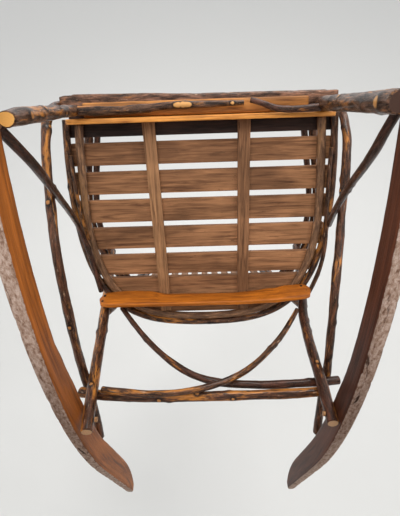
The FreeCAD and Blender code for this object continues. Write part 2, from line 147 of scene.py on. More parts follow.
def bark_wood(name, wear=0.5, dark=(0.010, 0.004, 0.0025), brown=(0.085, 0.032, 0.016),
              worn=(0.66, 0.25, 0.045), pale=0.5, eye=(0.40, 0.17, 0.05)):
    """Varnished bark: near-black plates, brown ridges, orange patches where it is rubbed through, pale spots
    of painted sheen, whose share is pale, and fine specks. The grain follows the pole. A knot has a dark rim,
    and a big one shows the heartwood, whose colour is eye."""
    g = Graph(name, Coat_Weight=0.35, Coat_Roughness=0.16, Specular_IOR_Level=0.12)
    skin = g.attribute("grain")
    plates = g.noise(g.stretch(skin, (1, 1, 0.17)), 210, 5, 0.65, 0.4)
    patches = g.noise(g.stretch(skin, (1, 1, 0.17)), 60, 5, 0.7, 0.3)
    fibres = g.noise(g.stretch(skin, (1, 1, 0.04)), 1100, 2)
    sheen_flecks = g.noise(g.stretch(skin, (1, 1, 0.16)), 300, 3, 0.7)
    colour = g.ramp(plates, (0.40, dark), (0.56, brown), (0.72, tuple(2.4 * c for c in brown)))
    rubbed = g.mix(fibres, worn, tuple(0.35 * c for c in worn))
    thin_bark = g.math("ADD", patches, g.math("MULTIPLY", plates, 0.35))
    through = g.step(thin_bark, 0.82 - 0.2 * wear, 0.94 - 0.2 * wear)
    colour = g.mix(through, colour, rubbed)
    # Pale spots: a painted sheen that stands in for the varnish's highlights.
    colour = g.mix(g.step(sheen_flecks, 0.64, 0.72, 0.0, pale), colour, (0.56, 0.38, 0.26))
    specks = g.noise(skin, 1500, 2, 0.7)
    colour = g.mix(g.step(specks, 0.60, 0.68, 0.0, 0.55), colour, (0.42, 0.20, 0.075))
    colour = g.mix(g.step(specks, 0.36, 0.30, 0.0, 0.7), colour, dark)
    knot = g.attribute("knot", "Fac")
    colour = g.mix(g.step(knot, 0.10, 0.45, 0.0, 0.9), colour, dark)
    colour = g.mix(g.step(knot, 0.62, 0.80), colour, eye)
    height = g.math("ADD", plates, g.math("MULTIPLY", fibres, 0.5))
    return g.finish(colour, g.step(plates, 0.35, 0.75, 0.5, 0.22), height, 0.0016)


def cut_wood(name, light=(0.34, 0.17, 0.065), dark=(0.09, 0.04, 0.018)):
    """End grain: rings about the pith, dark pores and a saw's dull finish."""
    g = Graph(name, Specular_IOR_Level=0.3)
    skin = g.attribute("grain")
    flat = g.stretch(skin, (1, 1, 0))
    distance = g.add("VectorMath", {0: flat}, operation="LENGTH").outputs["Value"]
    wobble = g.math("MULTIPLY", g.noise(flat, 160, 2), 6.0)
    rings = g.math("SINE", g.math("ADD", g.math("MULTIPLY", distance, 3600.0), wobble))
    pores = g.noise(skin, 900, 2)
    colour = g.mix(g.step(rings, -1, 1, 0.0, 0.45), light, dark)
    colour = g.mix(g.step(pores, 0.60, 0.70, 0.0, 0.8), colour, dark)
    return g.finish(colour, g.step(pores, 0.3, 0.7, 0.75, 0.6), pores, 0.0005)


def sawn_wood(name, tone, deep, turn=0.0, along="X", stain=0.5, coat=0.0, gloss=0.5):
    """A sawn board: long grain lines, pores and slow changes of tone, with darker stains
    and fine cracks. turn lays the grain back along a tilted board."""
    g = Graph(name, Coat_Weight=coat, Coat_Roughness=0.25, Specular_IOR_Level=0.2)
    scale = (0.06, 1, 1) if along == "X" else (1, 0.06, 1)
    fine = (0.02, 1, 1) if along == "X" else (1, 0.02, 1)
    place = g.stretch(g.place(), (1, 1, 1), (turn, 0, 0))
    lines = g.noise(g.stretch(place, scale), 170, 4, 0.6, 0.8)
    pores = g.noise(g.stretch(place, fine), 1300, 2)
    cloud = g.noise(g.stretch(place, (0.5, 1, 1)), 11, 3, 0.5, 0.5)
    cracks = g.noise(g.stretch(place, scale), 420, 2, 0.5, 1.2)
    light = tuple(min(1.0, 1.5 * c) for c in tone)
    colour = g.ramp(lines, (0.30, deep), (0.50, tone), (0.70, light))
    colour = g.mix(g.step(pores, 0.5, 0.75, 0.0, 0.5), colour, deep)
    colour = g.mix(g.step(cloud, 0.42, 0.66, 0.0, stain), colour, tuple(0.55 * c for c in deep))
    colour = g.mix(g.step(cracks, 0.70, 0.74, 0.0, 0.85), colour, tuple(0.25 * c for c in deep))
    height = g.math("ADD", g.math("MULTIPLY", pores, 0.5), lines)
    return g.finish(colour, g.step(lines, 0.3, 0.7, gloss + 0.15, gloss), height, 0.0006)


def runner_wood(name, tone, deep):
    """A rocker: grain round the curve, smooth faces and a scraped, dirty underside."""
    g = Graph(name, Specular_IOR_Level=0.08)
    skin = g.attribute("grain")
    lines = g.noise(g.stretch(skin, (1, 1, 0.05)), 150, 4, 0.6, 0.6)
    pores = g.noise(g.stretch(skin, (1, 1, 0.02)), 1000, 2)
    cloud = g.noise(g.stretch(skin, (1, 1, 0.4)), 9, 3)
    light = tuple(min(1.0, 1.6 * c) for c in tone)
    face = g.ramp(lines, (0.30, deep), (0.5, tone), (0.72, light))
    face = g.mix(g.step(pores, 0.52, 0.78, 0.0, 0.6), face, deep)
    face = g.mix(g.step(cloud, 0.45, 0.7, 0.0, 0.45), face, tuple(0.5 * c for c in deep))
    grit = g.noise(g.stretch(skin, (1, 1, 0.5)), 240, 5, 0.7, 0.3)
    scars = g.noise(g.stretch(skin, (1, 1, 0.3)), 60, 4, 0.65, 0.6)
    sole = g.ramp(grit, (0.32, (0.13, 0.065, 0.042)), (0.44, (0.32, 0.215, 0.160)),
                  (0.60, (0.52, 0.40, 0.335)))
    dirt = g.noise(skin, 1100, 3, 0.7)
    sole = g.mix(g.step(dirt, 0.54, 0.64, 0.0, 0.6), sole, (0.20, 0.085, 0.045))
    sole = g.mix(g.step(scars, 0.62, 0.68, 0.0, 0.9), sole, (0.045, 0.020, 0.013))
    under = g.attribute("under", "Fac")
    edge = g.math("ADD", under, g.math("MULTIPLY", g.math("SUBTRACT", grit, 0.5), 0.35))
    sole_share = g.step(edge, 0.45, 0.55)
    colour = g.mix(sole_share, face, sole)
    rough = g.math("ADD", g.math("MULTIPLY", sole_share, 0.3), 0.45)
    scraped = g.math("MULTIPLY", grit, g.math("ADD", sole_share, 0.12))
    height = g.math("ADD", g.math("MULTIPLY", pores, 0.3), scraped)
    return g.finish(colour, rough, height, 0.0016)


def iron(name):
    g = Graph(name, Metallic=0.7, Specular_IOR_Level=0.5)
    place = g.place()
    rust = g.noise(place, 600, 4, 0.6)
    colour = g.ramp(rust, (0.35, (0.015, 0.012, 0.010)), (0.6, (0.06, 0.03, 0.018)),
                    (0.8, (0.12, 0.05, 0.02)))
    return g.finish(colour, g.step(rust, 0.3, 0.7, 0.4, 0.8), rust, 0.0003)


BARK = bark_wood("bark_thick", wear=0.42)
BARK_DARK = bark_wood("bark_dark", wear=0.2, brown=(0.060, 0.022, 0.014), pale=0.2)
# Bark with the most spots of painted sheen, which give it its grey look.
BARK_GREY_SHEEN = bark_wood("bark_grey_painted_sheen", wear=0.55, brown=(0.092, 0.040, 0.021), pale=0.75)
BARK_WORN = bark_wood("bark_worn", wear=0.75)
BARK_KNOTTED = bark_wood("bark_knotted", wear=0.5, brown=(0.095, 0.046, 0.027), pale=0.6,
                         eye=(0.62, 0.31, 0.10))
STRIP = bark_wood("split_strip", wear=0.45, dark=(0.10, 0.05, 0.028), brown=(0.22, 0.115, 0.06),
                  worn=(0.38, 0.19, 0.08), pale=0.2)
END = cut_wood("cut_end")
END_TAN = cut_wood("cut_end_tan", light=(0.62, 0.40, 0.23), dark=(0.30, 0.15, 0.07))
# A near-black copy of the cut end with painted shade, as at the right front leg's top in its recess.
END_PAINTED_SHADE = cut_wood("cut_end_painted_shade", light=(0.07, 0.03, 0.018), dark=(0.02, 0.010, 0.007))
# A bright copy of the cut end for the left front leg, with the light that falls on it painted in.
END_PAINTED_LIGHT = cut_wood("cut_end_painted_light", light=(0.86, 0.46, 0.12), dark=(0.50, 0.20, 0.045))
IRON = iron("old_iron")

# ---------------------------------------------------------------- bent poles

STEP = 0.004            # metres from one ring of a pole to the next
CORNER_STEPS = 24       # samples of each rounded corner of a path
POLE_SIDES = 20
CUT_BEVEL = 0.0012      # the rubbed edge of a cut end
CUT_RIM = 0.86          # its radius, as a share of the pole's
SWELLINGS = 22          # how closely a pole's girth changes along it
LUMPS = 34              # how closely its bark's lumps follow each other
KNOT_REACH = 0.03       # a knot is too faint to matter beyond this
KNOT_HEIGHT = 0.75      # how far a knot stands out, as a share of its size
OPEN_KNOT = 0.0022      # a knot of this size or more shows its heartwood
CLOSED = 0.55           # how much of one a random knot shows


def smooth_path(points):
    """Even steps along a chain of parabolas that round the corners of the points."""
    points = [Vector(p) for p in points]
    joins = [points[0]] + [(a + b) / 2 for a, b in zip(points[1:-1], points[2:-1])] + [points[-1]]
    if len(points) < 4:
        joins = [points[0], points[-1]]
    fine = [points[0]]
    for start, corner, end in zip(joins, points[1:-1] or [(points[0] + points[-1]) / 2], joins[1:]):
        for i in range(1, CORNER_STEPS + 1):
            t = i / CORNER_STEPS
            fine.append(start * (1 - t) ** 2 + corner * 2 * t * (1 - t) + end * t ** 2)
    total = sum((b - a).length for a, b in zip(fine, fine[1:]))
    count = max(4, round(total / STEP))
    path = [fine[0]]
    walked = 0.0
    for a, b in zip(fine, fine[1:]):
        length = (b - a).length
        while len(path) < count and walked + length >= total * len(path) / count:
            path.append(a.lerp(b, (total * len(path) / count - walked) / length))
        walked += length
    return path + [fine[-1]], total


def new_mesh(name, vertices, faces, grain, extra, materials, end_faces=()):
    """A smooth mesh that carries its grain directions. End faces are flat, and take the
    second material."""
    mesh = bpy.data.meshes.new(name)
    mesh.from_pydata(vertices, [], faces)
    directions = mesh.attributes.new("grain", "FLOAT_VECTOR", "POINT")
    directions.data.foreach_set("vector", [c for v in grain for c in v])
    for key, values in extra.items():
        mesh.attributes.new(key, "FLOAT", "POINT").data.foreach_set("value", values)
    for material in materials:
        mesh.materials.append(material)
    ends = set(end_faces)
    for polygon in mesh.polygons:
        polygon.use_smooth = polygon.index not in ends
        polygon.material_index = 1 if polygon.index in ends else 0
    mesh.update()
    piece = bpy.data.objects.new(name, mesh)
    bpy.context.collection.objects.link(piece)
    return piece


def loft(rings, grain, extra):
    """Faces between rings of equal count, and a fan at each end."""
    count = len(rings[0])
    vertices = [v for ring in rings for v in ring]
    faces = []
    for i in range(len(rings) - 1):
        for j in range(count):
            k = (j + 1) % count
            faces.append((i * count + j, i * count + k, (i + 1) * count + k, (i + 1) * count + j))
    sides = len(faces)
    for ring, flip in ((0, True), (len(rings) - 1, False)):
        centre = len(vertices)
        vertices.append(sum(rings[ring], Vector()) / count)
        first = ring * count
        along = grain[first][2]
        grain.append((0.0, 0.0, along))
        for values in extra.values():
            values.append(values[first])
        for j in range(count):
            k = (j + 1) % count
            faces.append((centre, first + k, first + j) if flip else (centre, first + j, first + k))
    return vertices, faces, range(sides, len(faces))


def hand_over(piece, node):
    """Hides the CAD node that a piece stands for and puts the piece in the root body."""
    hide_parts(node)
    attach(piece, "root")


def pole(name, points, radius, material, frame_matrix=REST, taper=(1.0, 1.0), knots=(), lumps=0.05,
         ends=END, flat=None, slot="thick_bark", random_knots=5, pinch=None):
    """A sapling with its bark on. Its radius is in millimetres and is the CAD's, and
    taper scales it at both ends. Knots are given as (part of the length, way they face,
    size in millimetres). flat is a split strip's (half width, half thickness, way its
    flat side faces). pinch is the (side, share, length) of a foot cut thinner there."""
    seed = random.Random(name)
    shift = seed.uniform(0, 50)
    path, length = smooth_path([frame_matrix @ Vector(p) for p in points])
    radius /= 1000
    tangent = (path[1] - path[0]).normalized()
    across = flat[2] if flat else tangent.orthogonal().normalized()
    knots = [(part * length, Vector(facing), size / 1000, 1.0) for part, facing, size in knots]
    for _ in range(random_knots):
        part, turn = seed.uniform(0.08, 0.92), seed.uniform(0, 2 * math.pi)
        facing = across * math.cos(turn) + tangent.cross(across) * math.sin(turn)
        knots.append((part * length, facing, radius * seed.uniform(0.18, 0.34), CLOSED))
    rings, grain, knot = [], [], []
    bevel = min(CUT_BEVEL, radius * 0.2)
    stations = []
    for i, point in enumerate(path):
        before, after = path[max(0, i - 1)], path[min(len(path) - 1, i + 1)]
        stations.append((point, (after - before).normalized(), i * length / (len(path) - 1)))
    head, tail = stations[0], stations[-1]
    stations[0] = (head[0] + head[1] * bevel, head[1], bevel)
    stations[-1] = (tail[0] - tail[1] * bevel, tail[1], length - bevel)
    stations = [(head[0], head[1], 0.0)] + stations + [(tail[0], tail[1], length)]
    for index, (point, tangent, walked) in enumerate(stations):
        across = (across - tangent * across.dot(tangent)).normalized()
        side = tangent.cross(across)
        part = walked / length
        rim = CUT_RIM if index in (0, len(stations) - 1) else 1.0
        girth = (taper[0] + (taper[1] - taper[0]) * part) * rim
        girth *= 1 + lumps * 1.6 * noise.noise(Vector((shift, 0, walked * SWELLINGS)))
        ring = []
        for j in range(POLE_SIDES):
            angle = 2 * math.pi * j / POLE_SIDES
            c, s = math.cos(angle), math.sin(angle)
            place = Vector((c * 0.7 + shift, s * 0.7, walked * LUMPS))
            rough = 1 + lumps * noise.noise(place) + lumps * 0.5 * noise.noise(place * 3.1)
            bump = 0.0
            mark = 0.0
            for at, facing, size, share in knots:
                away = walked - at
                if abs(away) > KNOT_REACH:
                    continue
                turn = math.atan2(facing.dot(side), facing.dot(across))
                around = math.atan2(math.sin(angle - turn), math.cos(angle - turn)) * radius
                near = math.exp(-(away / (size * 1.6 + 0.002)) ** 2 - (around / (size * 1.3 + 0.002)) ** 2)
                bump += size * KNOT_HEIGHT * near
                mark = max(mark, near * share * min(1.0, size / OPEN_KNOT))
            if flat:
                squash = (abs(c) ** 4 + abs(s) ** 4) ** -0.25
                offset = across * (c * squash * flat[1] / 1000) + side * (s * squash * flat[0] / 1000)
                offset *= girth * rough
            else:
                offset = (across * c + side * s) * (radius * girth * rough + bump)
            if pinch and walked < pinch[2]:
                share = pinch[1] * (1 - walked / pinch[2])
                offset -= pinch[0] * max(0.0, offset.dot(pinch[0])) * share
            ring.append(point + offset)
            grain.append((offset.dot(across) + shift * 0.1, offset.dot(side), walked))
            knot.append(mark)
        rings.append(ring)
    extra = {"knot": knot}
    vertices, faces, cut = loft(rings, grain, extra)
    piece = new_mesh(name, vertices, faces, grain, extra, [material, ends], cut)
    hand_over(piece, name.replace("pole_", ""))


def pole_pair(name, points, radius, **settings):
    for side, turned in (("left", points), ("right", mirrored(points))):
        pole("pole_%s_%s" % (name, side), turned, radius, **settings)


pole("pole_front_leg_left", [(-194, -273, 62), (-225, -228, 393)], 9.5, BARK_GREY_SHEEN, ends=END_PAINTED_LIGHT,
     lumps=0.07, taper=(1.06, 0.95), pinch=(FRONT_UP, 0.4, 0.03),
     knots=[(0.14, (1, 0, 0.1), 3.6), (0.33, (0.7, -0.7, 0), 3.0), (0.62, (1, 0.3, 0), 2.4)])
pole("pole_front_leg_right", [(190, -279, 40), (225, -226, 391)], 11.5, BARK_KNOTTED, ends=END_PAINTED_SHADE,
     lumps=0.05, taper=(1.0, 1.08), knots=[(0.075, (-1, 0, 0.1), 5.0), (0.55, (-0.7, -0.7, 0), 3.0)])
pole("pole_rear_leg_left", [(-190, 186, 16), (-197, 178, 78), (-226, 178, 333), (-266, 186, 582)], 11,
     BARK_WORN, taper=(0.92, 0.95), knots=[(0.14, (0, -1, -0.5), 2.5)], ends=END_TAN)
pole("pole_rear_leg_right", [
    (195, 181, 19), (198, 178, 80), (200, 178, 142), (205, 178, 229), (211, 178, 283), (226, 179, 335),
    (266, 186, 582)], 9.5, BARK_DARK, taper=(1.0, 1.03), knots=[(0.2, (0, -1, -0.5), 2.5)], ends=END_TAN)
pole("pole_side_bow_left", [
    (-215, 338, 104), (-217, 275, 117), (-221, 200, 122), (-220, 90, 122), (-220, -20, 135),
    (-224, -76, 155), (-231, -109, 186), (-239, -140, 217), (-244, -174, 243), (-247, -214, 275),
    (-252, -236, 320), (-264, -238, 380), (-269, -232, 440), (-264, -202, 593)], 7.5, BARK,
    lumps=0.08, knots=[(0.52, DOWN, 2.6), (0.3, DOWN, 2.2), (0.66, (1, -0.5, 0), 2.4)], random_knots=8)
pole("pole_side_bow_right", [
    (215, 338, 104), (217, 262, 121), (221, 190, 131), (221, 112, 148), (224, 46, 172), (243, -23, 238),
    (250, -46, 265), (257, -72, 290), (261, -99, 305), (263, -153, 328), (267, -177, 350),
    (269, -209, 395), (269, -213, 440), (264, -202, 593)], 7.5, BARK,
    lumps=0.08, knots=[(0.12, DOWN, 2.6), (0.58, (-1, -0.5, 0), 2.2)], random_knots=8)
pole("pole_side_brace_left", [
    (-215, -261, 79), (-213, -245, 93), (-205, -211, 116), (-212, -172, 158), (-224, -130, 210),
    (-241, -69, 285), (-251, -14, 336), (-242, 32, 334), (-235, 85, 327), (-229, 138, 320)], 6, BARK_DARK,
    taper=(1.08, 0.85), slot="thin_bark", random_knots=3)
pole("pole_side_brace_right", [
    (214, -268, 84), (210, -252, 89), (212, -203, 121), (225, -135, 201), (232, -93, 242), (244, -39, 296),
    (255, -6, 331)], 6, BARK_DARK, taper=(1.0, 0.95), slot="thin_bark", random_knots=3)
pole("pole_front_arch_left", [
    (-217, -231, 363), (-150, -228, 366), (-112, -230, 366), (-44, -235, 367), (2, -234, 367),
    (80, -235, 367)], 5.5, BARK_KNOTTED, taper=(1.6, 0.85), lumps=0.1, slot="thin_bark",
    knots=[(0.59, DOWN, 2.2), (0.612, DOWN, 2.8), (0.634, DOWN, 3.0), (0.656, DOWN, 2.8),
           (0.678, DOWN, 2.2), (0.93, DOWN, 2.4)])
pole("pole_front_arch_right", [
    (212, -226, 349), (168, -224, 347), (141, -225, 350), (124, -229, 354), (108, -236, 358),
    (90, -240, 360)], 5.5, BARK_DARK, taper=(1.2, 0.85), lumps=0.08, slot="thin_bark")
pole("pole_rear_stretcher", [
    (-227, 198, 102), (-188, 198, 92), (-70, 198, 87), (40, 198, 87), (120, 198, 88), (180, 198, 90),
    (212, 197, 92)], 9, BARK_WORN, taper=(0.98, 0.9), lumps=0.07,
    knots=[(0.33, DOWN, 2.6), (0.48, (0, -1, 0), 2.8), (0.62, DOWN, 2.2)])
pole("pole_rear_brace_left", [
    (-186, 176, 308), (-141, 182, 241), (-91, 187, 181), (-49, 190, 143), (-8, 194, 120),
    (50, 198, 110), (149, 200, 109), (239, 199, 116)], 6, BARK_DARK,
    ends=END_PAINTED_SHADE, lumps=0.07, taper=(0.9, 1.3), slot="thin_bark")
pole("pole_rear_brace_right", [
    (200, 174, 285), (164, 178, 224), (112, 180, 162), (72, 180, 124), (31, 180, 102),
    (-12, 180, 87), (-75, 180, 79), (-132, 180, 83), (-182, 180, 91)], 6, BARK_GREY_SHEEN,
    taper=(0.85, 1.05), lumps=0.07, slot="thin_bark")

# ---------------------------------------------------------------- seat hoops and back

SEAT_UP = (SEAT.to_3x3() @ Vector((0, 0, 1))).normalized()
outer_half = [(-252, -214, 2), (-260, -140, 2), (-264, -40, 2), (-254, 70, 2), (-221, 160, 2),
              (-160, 215, 2), (-75, 238, 2)]
inner_half = [(-229, -205, 3), (-243, -57, 3), (-238, 60, 3), (-207, 148, 3), (-150, 200, 3), (-70, 222, 3)]
pole("pole_seat_hoop_outer", hoop(outer_half), 7, BARK_GREY_SHEEN, SEAT, random_knots=9)
pole("pole_seat_hoop_inner", hoop(inner_half), 8, STRIP, SEAT, flat=(8, 5, SEAT_UP), lumps=0.03,
     slot="split_strip", random_knots=0)
pole("pole_seat_side_sapling_left", [(-250, -150, -7), (-252, -70, -7), (-249, -20, -6), (-243, 24, -6)],
     4.5, BARK_GREY_SHEEN, SEAT, slot="thin_bark", random_knots=2, taper=(0.9, 1.0))
pole("pole_seat_side_sapling_right", [
    (250, -150, -7), (252, -70, -7), (254, -20, -7), (257, 20, -9), (257, 50, -13), (253, 90, -15),
    (243, 130, -15), (231, 158, -17)], 4.5, BARK_GREY_SHEEN, SEAT, slot="thin_bark", random_knots=3,
    taper=(0.9, 1.0))

back_outer = [(-230, 14, 0), (-222, 70, 0), (-211, 140, 0), (-208, 220, 0), (-209, 400, 0), (-196, 530, 0),
              (-150, 625, 0), (-62, 684, 0)]
back_inner = [(-192, 60, 0), (-189, 220, 0), (-191, 395, 0), (-179, 518, 0), (-139, 602, 0), (-56, 660, 0)]
pole("pole_back_hoop_outer", hoop(back_outer), 10, BARK, BACK, taper=(0.97, 0.97), lumps=0.06,
     random_knots=14)
pole("pole_back_hoop_inner", hoop(back_inner), 7, BARK_DARK, BACK, random_knots=10)
pole_pair("arm_outer", [
    (-264, -207, 604), (-286, -95, 602), (-308, 15, 598), (-313, 115, 594), (-294, 205, 590),
    (-252, 288, 586), (-234, 316, 585)], 11, material=BARK, taper=(0.97, 0.94), lumps=0.05, random_knots=6)
pole_pair("arm_inner", [
    (-250, -170, 603), (-266, -85, 602), (-288, 18, 598), (-293, 110, 594), (-275, 197, 590),
    (-235, 277, 586), (-226, 296, 585)], 8, material=BARK_DARK, taper=(1.0, 0.95))

# ---------------------------------------------------------------- rockers

ROCKER_INNER_X = 205.0
NOSE_STEPS = 8
ARC_STEPS = 130
EASE_STEPS = 12         # steps of the arc over which the crown sets in
TAIL_STEPS = 50
RUNNER_SIDES = 36
SOLE = 3.5              # millimetres up from the underside that look like it
WORN = 5.0              # millimetres up from the underside that are chipped
CHIP = 2.4              # how deep the chips go
TIP = 16.0              # millimetres before the tip over which it narrows


def squared(angle, power):
    """A point of a rounded square, 1 to each side."""
    c, s = math.cos(angle), math.sin(angle)
    square = (abs(c) ** power + abs(s) ** power) ** (-1 / power)
    return c * square, s * square


def between(stops, x):
    """A smooth curve through (x, value) stops."""
    if x <= stops[0][0]:
        return stops[0][1]
    for (x0, v0), (x1, v1) in zip(stops, stops[1:]):
        if x <= x1:
            t = (x - x0) / (x1 - x0)
            t = t * t * (3 - 2 * t)
            return v0 + (v1 - v0) * t
    return stops[-1][1]


def rocker(side, name, material, crown):
    """The runner's two edges are followed from the front end to the tip. crown is what
    its top edge gains or loses along the way. Its underside is worn: chips and scrapes
    cut into it, never out of it."""
    outer, height, thick = ROCKER_RADIUS, 45.0, 20.0
    front, bend_end, tip_y, toe = 385.0, 400.0, 700.0, 170.0
    half = height / 2
    start = -math.asin((front - half) / (outer - half))
    bend = math.asin(bend_end / outer)
    direction = Vector((0, math.cos(bend), math.sin(bend)))
    inward = Vector((0, -math.sin(bend), math.cos(bend)))
    bend_point = Vector((0, outer * math.sin(bend), outer - outer * math.cos(bend)))
    straight = (tip_y - bend_point.y) / direction.y
    middle_x = side * (ROCKER_INNER_X + thick / 2)
    stations = []
    for i in range(NOSE_STEPS + 1):
        run = half * (1 - math.cos(math.pi / 2 * i / NOSE_STEPS))
        reach = math.sqrt(max(0.3, half ** 2 - (half - run) ** 2))
        stations.append(("arc", start - (half - run) / outer, half - reach, half + reach))
    for i in range(1, ARC_STEPS):
        where = start + (bend - start) * i / ARC_STEPS
        ease = min(1.0, i / EASE_STEPS)
        stations.append(("arc", where, 0.0, height + ease * between(crown, outer * math.sin(where))))
    for i in range(TAIL_STEPS + 1):
        away = straight * (1 - (1 - i / TAIL_STEPS) ** 1.15)
        into_toe = max(0.0, away - (straight - toe))
        top = (height + crown[-1][1]) * max(0.0, 1 - (into_toe / toe) ** 2) ** 0.5
        stations.append(("line", away, 0.0, max(0.8, top)))
    rings, grain, under = [], [], []
    for kind, where, low, high in stations:
        if kind == "arc":
            base = Vector((0, outer * math.sin(where), outer - outer * math.cos(where)))
            up = Vector((0, -math.sin(where), math.cos(where)))
            along = outer * where
        else:
            base = bend_point + direction * where
            up = inward
            along = outer * bend + where
        tall = (high - low) / 2
        to_tip = straight - where if kind == "line" else straight
        narrow = 1 - 0.5 * max(0.0, 1 - to_tip / TIP) ** 2
        ring = []
        for j in range(RUNNER_SIDES):
            wide, deep = squared(2 * math.pi * (j + 0.5) / RUNNER_SIDES, 7)
            x = wide * narrow * thick / 2
            z = deep * tall
            below = max(0.0, min(1.0, (WORN - (z + tall)) / WORN)) if tall > 4 else 0.5
            place = Vector((x * 0.09 + 7 * side, z * 0.09, along * 0.035))
            dent = max(0.0, noise.noise(place) + 0.55 * noise.noise(place * 2.7) - 0.2)
            edge = abs(wide) * abs(deep)
            z += below * (dent * CHIP)
            x -= math.copysign(dent * (1.6 * edge + 0.3 * below) * (0.3 if x * side < 0 else 1.0), x)
            z -= math.copysign(0.8 * max(0.0, noise.noise(place * 1.7)) * edge, z) * (1 - below)
            ring.append(REST @ (base + up * (low + tall + z) + Vector((middle_x + x, 0, 0))))
            grain.append((x / 1000 + side, z / 1000, along / 1000))
            under.append(max(0.0, min(1.0, 1 - (z + tall) / SOLE)))
        rings.append(ring)
    extra = {"under": under}
    vertices, faces, _ = loft(rings, grain, extra)
    piece = new_mesh("worn_rocker_" + name, vertices, faces, grain, extra, [material])
    hand_over(piece, "rocker_" + name)


# The left rocker's wood is lighter with painted light from the right, and the right rocker's is darker with
# painted shade. Part of the difference is their own tone.
rocker(-1, "left", runner_wood("rocker_wood_left_painted_light", (0.34, 0.105, 0.020), (0.13, 0.038, 0.011)),
       [(-385, -6), (10, -5), (60, 0), (130, 5), (180, 5), (330, 3), (400, 5)])
rocker(1, "right", runner_wood("rocker_wood_right_painted_shade", (0.10, 0.034, 0.018), (0.035, 0.014, 0.009)),
       [(-385, -8), (57, -7), (180, -2), (313, 0), (400, 0)])

# ---------------------------------------------------------------- boards

PLANK_STEP = 4.0        # millimetres from ring to ring
PLANK_SIDES = 32
PLANK_RIM = 0.8         # how far its end is rounded
STRAIGHT = [(0, 0)]


def plank(name, node, x_range, depth, level, material, rough=0.4, corner=0.0, top=STRAIGHT,
          bottom=STRAIGHT, front=STRAIGHT, lean=STRAIGHT, shift=STRAIGHT):
    """A board across the seat, from ring to ring along its length. depth and level are
    its reach back along the seat and up from it. top, bottom and front bend those faces,
    shift moves the whole section forward, lean tips its top forward, and corner rounds
    the board's ends."""
    x0, x1 = x_range
    count = round((x1 - x0) / PLANK_STEP)
    rings, grain = [], []
    seed = random.Random(name).uniform(0, 40)
    for i in range(count + 1):
        x = x0 + (x1 - x0) * i / count
        forward = between(shift, x)
        tip = between(lean, x)
        near_end = min(x - x0, x1 - x)
        inset = corner - math.sqrt(max(0.0, corner ** 2 - max(0.0, corner - near_end) ** 2))
        y_low = depth[0] + between(front, x)
        y_high = depth[1]
        z_low = level[0] + between(bottom, x) + inset
        z_high = level[1] + between(top, x) - inset
        if near_end <= 0:
            y_low, y_high = y_low + PLANK_RIM, y_high - PLANK_RIM
            z_low, z_high = z_low + PLANK_RIM, z_high - PLANK_RIM
        ring = []
        for j in range(PLANK_SIDES):
            angle = 2 * math.pi * (j + 0.5) / PLANK_SIDES
            wide, deep = squared(angle, 9)
            place = Vector((x * 0.05 + seed, math.cos(angle) * 1.3, math.sin(angle) * 1.3))
            cut = rough * max(0.0, 0.3 + noise.noise(place) + 0.6 * noise.noise(place * 3.3))
            half_y, half_z = (y_high - y_low) / 2 - cut, (z_high - z_low) / 2 - cut * 0.6
            y = (y_low + y_high) / 2 + wide * half_y
            z = (z_low + z_high) / 2 + deep * half_z
            grain.append((y / 1000, z / 1000 + seed, x / 1000))
            y -= forward + tip * (z - z_low) / (z_high - z_low)
            ring.append(SEAT @ Vector((x, y, z)))
        rings.append(ring)
    vertices, faces, _ = loft(rings, grain, {})
    piece = new_mesh(name, vertices, faces, grain, {}, [material])
    hand_over(piece, node)


GOLD = sawn_wood("golden_board", (0.43, 0.125, 0.011), (0.20, 0.050, 0.006), stain=0.3, coat=0.12, gloss=0.42)
# A paler copy of the golden board for the front rail, with the stronger light at the front painted in.
GOLD_PAINTED_LIGHT = sawn_wood("golden_board_painted_light", (0.66, 0.27, 0.055), (0.30, 0.10, 0.02), stain=0.35, coat=0.15,
                      gloss=0.42)
APRON = sawn_wood("apron_board", (0.42, 0.17, 0.04), (0.16, 0.055, 0.014), stain=0.5, coat=0.1, gloss=0.45)
# Its many pale spots are painted highlights, as on the bark.
ROUGH = bark_wood("bark_edge", wear=0.35, dark=(0.025, 0.012, 0.008), brown=(0.14, 0.068, 0.042), pale=0.7)

plank("sawn_rear_rail", "rear_rail", (-233, 233), (158.5, 168), (-46.3, -5.3), GOLD, rough=0.5, corner=16,
      top=[(-233, 0), (-130, 3), (-60, 1), (60, 1), (150, 2), (233, 0)],
      bottom=[(-233, 4), (-200, 0), (160, 0), (200, 2), (233, 6)],
      lean=[(-233, 3), (-215, 9), (-170, 11), (-130, 9), (-80, 1), (60, 0), (110, 3), (150, 7), (190, 11),
            (215, 11), (233, 6)],
      shift=[(80, 0), (150, 2), (190, 5), (233, 8)])


NAIL_SIDES = 12
# Each ring's share of the head's radius, and how many millimetres it stands out.
NAIL_PROFILE = [(1.0, -1.5), (1.0, 0.2), (0.86, 0.8), (0.5, 1.15)]


def nail_heads(name, node, places, radius):
    """Hammered heads, domed and not quite round, that face the front of the seat."""
    seed = random.Random(name)
    vertices, faces, grain = [], [], []
    for place in places:
        first = len(vertices)
        turn = seed.uniform(0, 3)
        for size, out in NAIL_PROFILE:
            for j in range(NAIL_SIDES):
                angle = 2 * math.pi * j / NAIL_SIDES
                reach = radius * size * (1 + 0.09 * math.sin(3 * angle + turn))
                spot = Vector(place) + Vector((reach * math.cos(angle), -out, reach * math.sin(angle)))
                vertices.append(SEAT @ spot)
                grain.append(tuple(spot / 1000))
        crown = first + (len(NAIL_PROFILE) - 1) * NAIL_SIDES
        for low in range(first, crown, NAIL_SIDES):
            high = low + NAIL_SIDES
            for j in range(NAIL_SIDES):
                k = (j + 1) % NAIL_SIDES
                faces.append((low + j, low + k, high + k, high + j))
        faces.append(tuple(crown + j for j in range(NAIL_SIDES)))
        faces.append(tuple(first + NAIL_SIDES - 1 - j for j in range(NAIL_SIDES)))
    piece = new_mesh(name, vertices, faces, grain, {}, [IRON])
    hand_over(piece, node)


